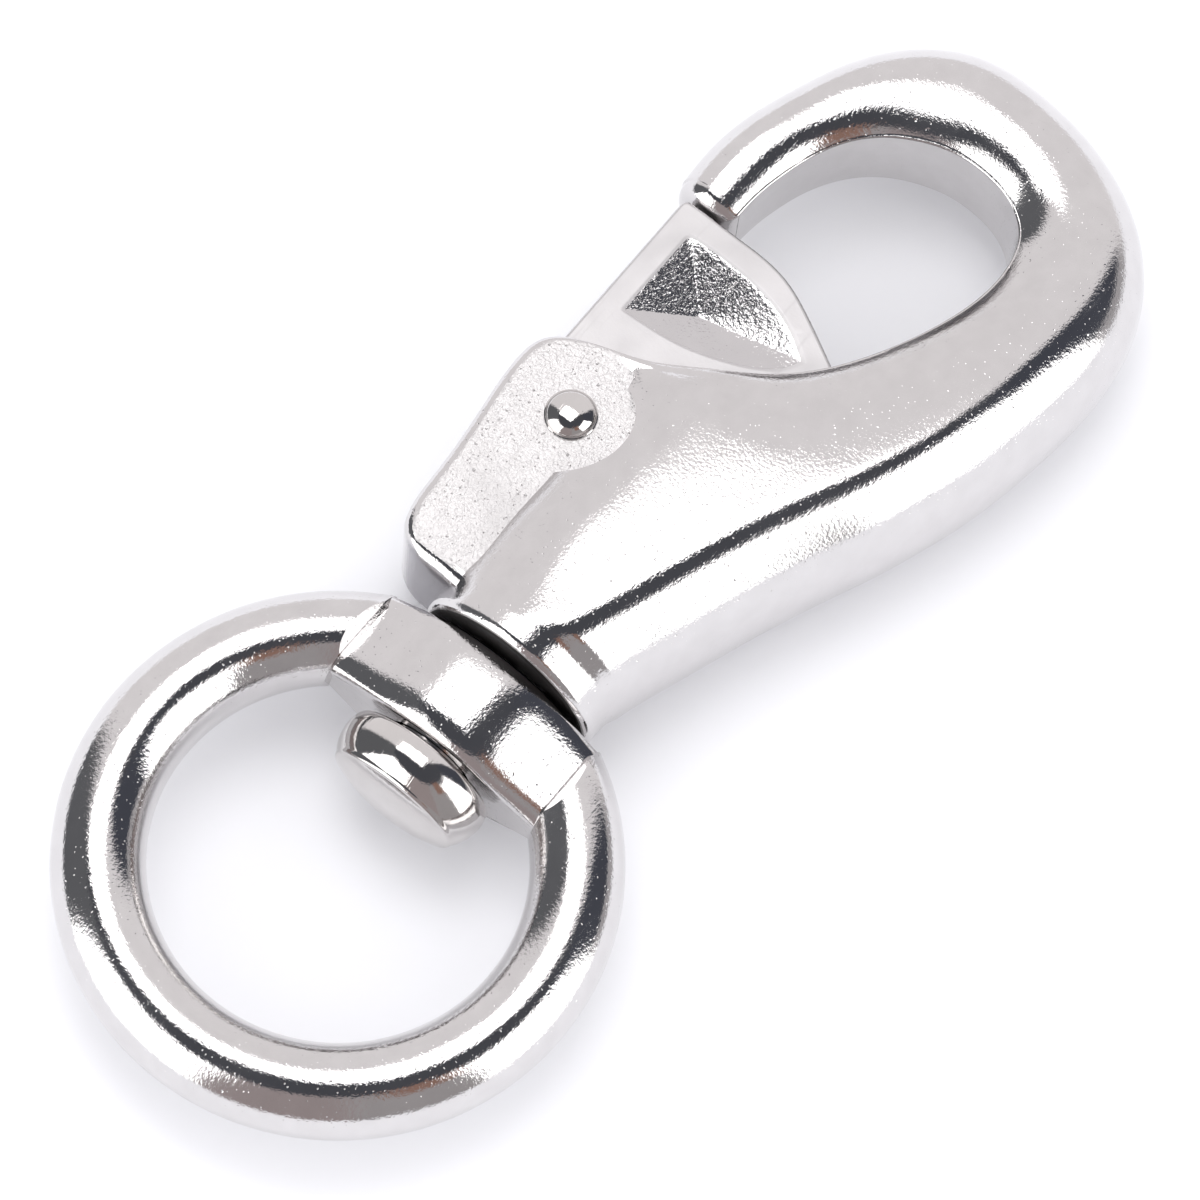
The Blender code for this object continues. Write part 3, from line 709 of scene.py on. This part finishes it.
def makeSwivelPin():
    p = swivelPin
    crease, rollStart = p["crease"], p["back"] + p["dome"] + p["crease"]

    def fall(x):
        # how far the head has rolled down from its crest
        if x < p["crest"]:
            return p["roll"] - math.sqrt(p["roll"] ** 2 - (p["crest"] - x) ** 2)
        reach = (x - p["crest"]) / p["frontRoll"]
        return p["frontFall"] * (1 - math.sqrt(max(1 - reach ** 2, 0.0)))

    # places along the axis with how far the outline is drawn in: domed end, crease, rolled side
    rim = fall(rollStart)
    end = rim + crease
    stops = []
    for i in range(1, 13):
        share = math.sin(math.pi / 2 * i / 12)
        stops.append((p["back"] + p["dome"] * (1 - math.sqrt(1 - (0.86 * share) ** 2)) / 0.49, end, share))
    for i in range(1, 7):
        angle = math.pi / 2 * i / 6
        stops.append((rollStart - crease * math.cos(angle), end - crease * math.sin(angle), 1.0))
    for i in range(1, 30):
        x = rollStart + (p["crest"] + p["frontRoll"] - rollStart) * i / 29
        stops.append((x, fall(x), 1.0))
    rings = []
    for x, inward, share in stops:
        outline = oval(p["halfWidth"] - inward, p["halfHeight"] - inward, p["power"], p["count"])
        rings.append([(x, y * share, z * share) for y, z in outline])
    for x, radius in ((p["front"], p["shankRadius"]), (p["shankEnd"] - 0.4, p["shankRadius"]),
                      (p["shankEnd"], p["shankRadius"] - 0.4)):
        rings.append([(x, y, z) for y, z in oval(radius, radius, 2, p["count"])])
    pin = newPiece("swivelPinTurned", *loft(rings))
    finishPiece(pin, steels["pinSteel"])
    handOver(pin, "swivel_pin", "hook")


# gate
gate = {
    "halfThickness": 2.5, "edge": 0.3, "hubRadius": 4.2, "corner": 0.65,
    # outline: the thumb edge, the curve from the tip down the front, and the hidden lower corner
    "thumb": (38.2, 11.64),
    "tip": (52.05, 11.74),
    "front": ((52.08, 9.4), (52.05, 7.4), (51.97, 4.2), (51.65, 2.5), (50.6, 0.0), (48.5, -3.85)),
    "foot": ((48.1, -4.7), (47.4, -4.9)),
    "lug": ((29.6, 8.9), (27.6, 8.9), (27.6, 6.8), (29.6, 6.8)),
    "pitLeft": (
        (42.6, 9.85), (42.75, 7.4), (43.1, 4.9), (43.9, 2.4), (45.1, -0.1), (46.3, -1.5), (47.5, -2.15),
    ),
    "pitRight": ((47.5, -2.15), (48.75, -0.2), (49.6, 2.0), (50.05, 4.5), (50.1, 9.85)),
    "pitCorner": 0.8,
    "pitApex": (46.1, 5.7), "pitDepth": 1.35,
    "grooveRadius": 3.1, "grooveHalfWidth": 1.65, "grooveOuter": 6.0, "grooveFloor": 3.0,
    "grooveRoof": 1.75, "grooveLeg": (2.3, 7.4), "hole": 1.5,
}


def roundCorners(points, radius, steps=6, sharpest=12):
    # closed outline whose sharper corners become arcs of one radius, or less where edges are short
    result = []
    count = len(points)
    for i in range(count):
        before, here, after = (Vector(points[(i + k) % count]) for k in (-1, 0, 1))
        back, on = before - here, after - here
        turn = math.pi - back.angle(on)
        if turn < math.radians(sharpest):
            result.append(tuple(here))
            continue
        reach = min(radius * math.tan(turn / 2), back.length * 0.45, on.length * 0.45)
        first, last = here + back.normalized() * reach, here + on.normalized() * reach
        for step in range(steps + 1):
            t = step / steps
            result.append(tuple(first * (1 - t) ** 2 + here * 2 * t * (1 - t) + last * t ** 2))
    return result


def drawnIn(points, distance):
    # the same outline moved inwards all round; it runs clockwise
    result = []
    count = len(points)
    for i in range(count):
        before, here, after = (Vector(points[(i + k) % count]) for k in (-1, 0, 1))
        sides = [Vector((d.y, -d.x)).normalized() for d in (here - before, after - here)]
        middle = (sides[0] + sides[1]).normalized()
        reach = distance / max(middle.dot(sides[0]), 0.5)
        result.append(tuple(here + middle * reach))
    return result


def gateOutline():
    g = gate
    corner = Vector((*g["foot"][-1], 0.0)) - pivot
    tangent = math.atan2(corner.y, corner.x) - math.acos(g["hubRadius"] / corner.length)
    lugLow = math.asin((g["lug"][2][1] - pivot.y) / g["hubRadius"])
    lugHigh = math.asin((g["lug"][1][1] - pivot.y) / g["hubRadius"])
    points = [g["thumb"], g["tip"]] + splineRows(g["front"], 6, lead=2) + list(g["foot"])
    points += arc(pivot, g["hubRadius"], 24, tangent, -math.pi - lugLow, whole=False)
    points += [g["lug"][2], g["lug"][1]]
    points += arc(pivot, g["hubRadius"], 30, math.pi - lugHigh, math.radians(80), whole=False)
    return roundCorners(points, g["corner"])


def pitSolid(side):
    # three-sided pit: its outline drawn down to one point, with a rounded lip
    g = gate
    outline = splineRows(g["pitLeft"], 4, lead=2) + splineRows(g["pitRight"], 4, lead=2)[1:]
    outline = roundCorners(outline, g["pitCorner"])
    ax, ay = g["pitApex"]
    face, depth = g["halfThickness"], g["pitDepth"]
    # share of the way out from the deepest point, and height over the face
    stops = [(t, -depth * (1 - t)) for t in (0.02, 0.08, 0.2, 0.35, 0.5, 0.65, 0.8, 0.9)]
    stops += [(0.95, -depth * 0.05 - 0.012), (0.985, -0.055), (1.015, -0.02), (1.05, 0.004)]
    stops += [(1.1, 0.03), (1.3, 1.0)]
    rings = []
    for t, z in stops:
        rings.append([(ax + (x - ax) * t, ay + (y - ay) * t, side * (face + z)) for x, y in outline])
    return loft(rings)


def grooveOutline():
    # room for the spring's coil round the pin, open towards its two legs
    g = gate
    points = arc(pivot, g["grooveRadius"], 30, math.radians(-38), math.radians(176), whole=False)
    points += arc(pivot, g["grooveOuter"], 12, math.radians(182), math.radians(292), whole=False)
    low, high = pivot.y - g["grooveFloor"], pivot.y - g["grooveRoof"]
    near, far = (pivot.x + reach for reach in g["grooveLeg"])
    return points + [(near, low), (far, low), (far, high)]


def makeGate():
    g = gate
    half = g["halfThickness"]
    outline = gateOutline()
    upper = []
    for back, inward in rounding(g["edge"], 6):
        upper.append([(x, y, half - back) for x, y in drawnIn(outline, inward)])
    lower = [[(x, y, -z) for x, y, z in ring] for ring in reversed(upper)]
    piece = newPiece("gateCast", *loft(upper + lower))
    for side in (1, -1):
        combine(piece, pitSolid(side))
    combine(piece, prism(grooveOutline(), -g["grooveHalfWidth"], g["grooveHalfWidth"]))
    combine(piece, prism(arc(pivot, g["hole"], 48), -4, 4))
    finishPiece(piece, steels["gateSteel"], 28)
    handOver(piece, "gate", "gate")


# gate pin: a rivet with a domed head on each cheek
gatePin = {"radius": 1.4, "headRadius": 1.78, "headHeight": 0.85, "seat": 4.48, "rim": 1.85, "count": 72}


def makeGatePin():
    p = gatePin
    seat = p["seat"]
    angles = [math.pi / 2 * i / 14 for i in range(1, 14)]
    profile = [(p["headRadius"] * math.sin(a), seat + p["headHeight"] * math.cos(a)) for a in angles]
    profile += [(p["headRadius"], seat + 0.06), (p["rim"], seat + 0.03)]
    profile += [(p["rim"], seat - 0.1), (p["radius"], seat - 0.1)]
    profile += [(radius, -z) for radius, z in reversed(profile)]
    rings = [[(x, y, z) for x, y in arc(pivot, radius, p["count"])] for radius, z in profile]
    pin = newPiece("gatePinRivet", *loft(rings))
    finishPiece(pin, steels["pinSteel"])
    handOver(pin, "gate_pin", "hook")


# gate spring
gateSpring = {
    "coilRadius": 2.35, "wireRadius": 0.3, "turns": 3.25, "coilRise": 2.04,
    "fixedLeg": 4.4, "liftLeg": 6.8, "points": 260, "sides": 14,
}


def springTree():
    # a coil about Z whose first and last stretches run off straight as legs
    inputs = (
        ("Coil Radius", number, 0.00235), ("Wire Radius", number, 0.0003), ("Turns", number, 3.25),
        ("Rise", number, 0.002), ("Fixed Leg", number, 0.0044), ("Lift Leg", number, 0.0068),
        ("Points", integer, 260), ("Sides", integer, 14), ("Centre", vector, None),
    )
    tree, given, result = geometryTree("torsionSpring", inputs)
    radius = given["Coil Radius"]
    coiled = calc(tree, "MULTIPLY", given["Turns"], 2 * math.pi)
    before = calc(tree, "DIVIDE", given["Fixed Leg"], radius)
    after = calc(tree, "DIVIDE", given["Lift Leg"], radius)
    length = calc(tree, "ADD", calc(tree, "ADD", coiled, before), after)
    line = node(tree, "GeometryNodeMeshLine", {"Count": given["Points"]}).outputs[0]
    route = node(tree, "GeometryNodeMeshToCurve", {"Mesh": line}).outputs[0]
    along = node(tree, "GeometryNodeSplineParameter").outputs["Factor"]
    turned = calc(tree, "SUBTRACT", calc(tree, "MULTIPLY", along, length), before)
    held = calc(tree, "MINIMUM", calc(tree, "MAXIMUM", turned, 0.0), coiled)
    straight = calc(tree, "MULTIPLY", calc(tree, "SUBTRACT", turned, held), radius)
    angle = calc(tree, "ADD", held, math.pi)
    cosine, sine = calc(tree, "COSINE", angle), calc(tree, "SINE", angle)
    out, side = calc(tree, "MULTIPLY", cosine, radius), calc(tree, "MULTIPLY", sine, straight)
    x = calc(tree, "SUBTRACT", out, side)
    out, side = calc(tree, "MULTIPLY", sine, radius), calc(tree, "MULTIPLY", cosine, straight)
    y = calc(tree, "ADD", out, side)
    share = calc(tree, "SUBTRACT", calc(tree, "DIVIDE", held, coiled), 0.5)
    climb = calc(tree, "MULTIPLY", share, given["Rise"])
    point = node(tree, "ShaderNodeCombineXYZ", {"X": x, "Y": y, "Z": climb}).outputs[0]
    shaped = node(tree, "GeometryNodeSetPosition", {"Geometry": route, "Position": point}).outputs[0]
    wire = sweep(tree, shaped, given["Sides"], given["Wire Radius"], given["Centre"], True)
    closeTree(tree, wire, steels["springSteel"], result)
    return tree


def makeGateSpring():
    s = gateSpring
    spring = runTree("gateSpringWire", springTree(), {
        "Coil Radius": s["coilRadius"] * mm, "Wire Radius": s["wireRadius"] * mm, "Turns": s["turns"],
        "Rise": s["coilRise"] * mm, "Fixed Leg": s["fixedLeg"] * mm, "Lift Leg": s["liftLeg"] * mm,
        "Points": s["points"], "Sides": s["sides"], "Centre": tuple(place(pivot)),
    })
    finishPiece(spring, steels["springSteel"], 60)
    handOver(spring, "gate_spring", "hook")


makeHookBody()
makeSwivelEye()
makeSwivelPin()
makeGate()
makeGatePin()
makeGateSpring()

# studio
studio = {
    "floorSize": 6.0, "floorColour": (0.93, 0.93, 0.96),
    "aimX": 0.4766, "aimY": 0.4534, "distance": 0.40736, "azimuth": 59.273, "elevation": 68.26,
    "roll": 8.314, "lens": 180.6,
    "wall": (1.0, 1.0, 1.0, 1.0), "fill": (1.06, 1.06, 1.07, 1.0),
    "cardHeight": 0.53, "cardX": (0.0, 0.245), "cardY": (-0.04, 0.3), "cardStrength": 2.8,
}

# Light round the object by compass bearing (0 is +X, 90 is +Y) and angle from straight up, in
# degrees: bearing from, to, angle from, to, edge softness, colour, strength. Later ones cover
# earlier ones.
skyPanels = (
    (-180, 180, 0, 95, 1, (0.55, 0.53, 0.54), 0.9),
    (84, 128, 24, 100, 8, (0.42, 0.43, 0.46), 0.35),
    (-180, -135, 20, 100, 6, (1.0, 0.86, 0.86), 0.4),
    (-135, -97, 20, 100, 6, (1.0, 0.95, 0.96), 0.42),
    (-56, -20, 22, 76, 5, (0.45, 0.48, 0.6), 0.17),
    (-180, 180, -1, 30, 3, (0.5, 0.52, 0.6), 0.17),
    (-20, 84, 15, 100, 6, (1.0, 0.97, 0.98), 0.98),
    (-122, -98, 27, 44, 5, (0.75, 0.45, 0.36), 0.45),
    (-98, -56, 33, 90, 2, (1.0, 1.0, 1.0), 2.8),
    (128, 179, 32, 95, 2, (1.0, 1.0, 1.0), 2.8),
)


def makeSky():
    world = bpy.data.worlds.new("studioSky")
    bpy.context.scene.world = world
    world.use_nodes = True
    tree = world.node_tree
    tree.nodes.clear()
    direction = tree.nodes.new("ShaderNodeTexCoord").outputs["Generated"]
    x, y, z = node(tree, "ShaderNodeSeparateXYZ", {0: direction}).outputs
    degrees = 180 / math.pi
    bearing = calc(tree, "MULTIPLY", calc(tree, "ARCTAN2", y, x), degrees)
    fromTop = calc(tree, "MULTIPLY", calc(tree, "ARCCOSINE", z), degrees)
    light = (0.5, 0.5, 0.5, 1.0)
    for low, high, top, bottom, soft, tint, strength in skyPanels:
        mask = inside(tree, fromTop, top, bottom, soft / 2)
        if high - low < 360:
            mask = calc(tree, "MULTIPLY", mask, inside(tree, bearing, low, high, soft / 2))
        light = blendColour(tree, mask, light, (*[c * strength for c in tint], 1.0))
    sky = node(tree, "ShaderNodeBackground", {"Color": light}).outputs[0]
    wall = node(tree, "ShaderNodeBackground", {"Color": studio["wall"]}).outputs[0]
    fill = node(tree, "ShaderNodeBackground", {"Color": studio["fill"]}).outputs[0]
    path = tree.nodes.new("ShaderNodeLightPath").outputs
    mix = node(tree, "ShaderNodeMixShader", {0: path["Is Diffuse Ray"], 1: sky, 2: fill}).outputs[0]
    mix = node(tree, "ShaderNodeMixShader", {0: path["Is Camera Ray"], 1: mix, 2: wall}).outputs[0]
    link(tree, mix, node(tree, "ShaderNodeOutputWorld").inputs["Surface"])
    print("sky made")


def makeSoftbox():
    s = studio
    light = bpy.data.lights.new("overheadSoftbox", "AREA")
    light.shape = "RECTANGLE"
    light.size = s["cardX"][1] - s["cardX"][0]
    light.size_y = s["cardY"][1] - s["cardY"][0]
    light.energy = s["cardStrength"] * math.pi * light.size * light.size_y
    box = bpy.data.objects.new("overheadSoftbox", light)
    box.location = ringCentre + Vector((sum(s["cardX"]) / 2, sum(s["cardY"]) / 2, s["cardHeight"]))
    bpy.context.scene.collection.objects.link(box)


def makeFloor():
    half = studio["floorSize"] / 2
    mesh = bpy.data.meshes.new("floor")
    corners = [(-half, -half, 0), (half, -half, 0), (half, half, 0), (-half, half, 0)]
    mesh.from_pydata(corners, [], [(0, 1, 2, 3)])
    floor = bpy.data.objects.new("floor", mesh)
    bpy.context.scene.collection.objects.link(floor)
    material = bpy.data.materials.new("paleFloor")
    material.use_nodes = True
    shader = material.node_tree.nodes["Principled BSDF"]
    shader.inputs["Base Color"].default_value = (*studio["floorColour"], 1.0)
    shader.inputs["Roughness"].default_value = 0.9
    shader.inputs["Specular IOR Level"].default_value = 0.0
    mesh.materials.append(material)


def makeCamera():
    s = studio
    low, high = cadBounds
    aim = Vector((low.x + (high.x - low.x) * s["aimX"], low.y + (high.y - low.y) * s["aimY"], ringCentre.z))
    a, e = math.radians(s["azimuth"]), math.radians(s["elevation"])
    back = Vector((-math.sin(a) * math.cos(e), -math.cos(a) * math.cos(e), math.sin(e)))
    camera = bpy.data.objects.new("camera", bpy.data.cameras.new("camera"))
    bpy.context.scene.collection.objects.link(camera)
    camera.location = aim + back * s["distance"]
    camera.rotation_mode = "QUATERNION"
    roll = Quaternion(-back, math.radians(-s["roll"]))
    camera.rotation_quaternion = roll @ (-back).to_track_quat("-Z", "Y")
    camera.data.lens = s["lens"]
    camera.data.sensor_width = 36
    camera.data.clip_start = 0.02
    bpy.context.scene.camera = camera
    print("camera at", [round(v, 4) for v in camera.location])


makeSky()
makeSoftbox()
makeFloor()
makeCamera()
bpy.context.scene.view_settings.view_transform = "Standard"
